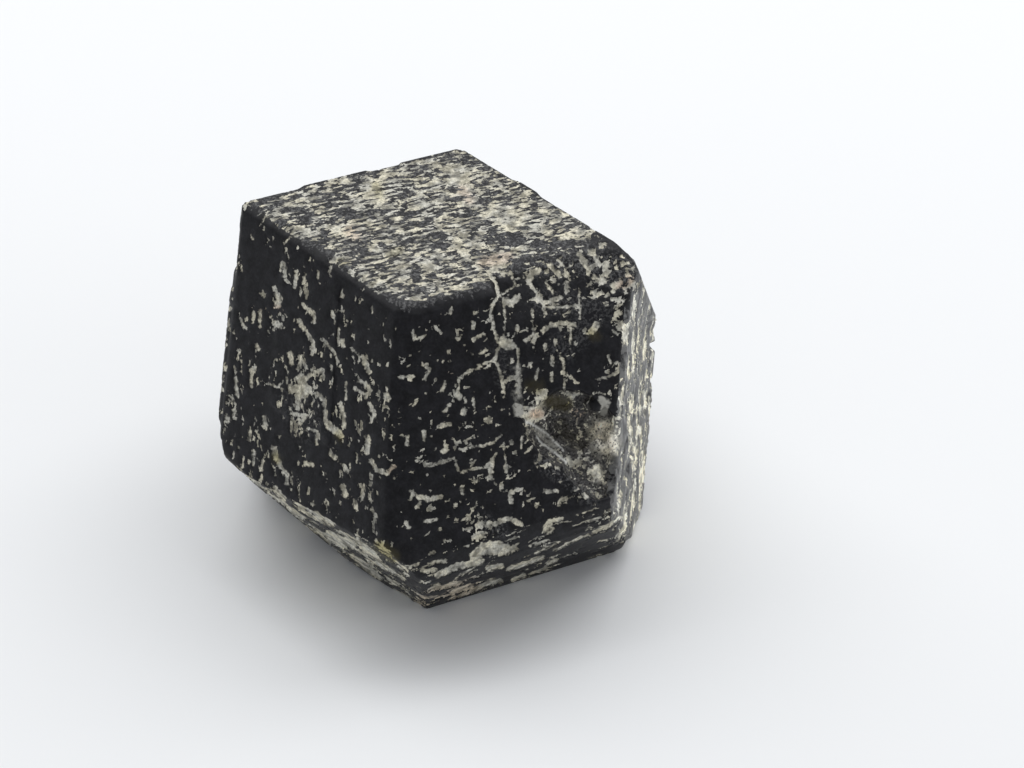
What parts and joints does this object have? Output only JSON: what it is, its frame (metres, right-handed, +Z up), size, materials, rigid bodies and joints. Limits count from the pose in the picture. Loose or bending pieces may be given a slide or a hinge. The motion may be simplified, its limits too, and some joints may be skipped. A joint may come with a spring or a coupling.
{
  "type": "andradite garnet crystal specimen",
  "caption": "Loose black dodecahedral garnet crystal with stepped faces, blunt edges and a broken hollow, lying on one flat face.",
  "frame": {"origin": "on the surface the crystal lies on, under the middle of its box", "axes": "+Z up, square to the level top face and the face it lies on; -Y to the front, where the two front faces meet in the upright front edge; +X to the right of it"},
  "size_m": [0.028, 0.0338, 0.0222],
  "materials": {
    "garnet": "near-black garnet with a dull to greasy lustre, pitted along the crystal's growth directions, the pits filled with matt cream matrix"
  },
  "bodies": {
    "root": {"andradite_crystal": "garnet"}
  },
  "joints": []
}
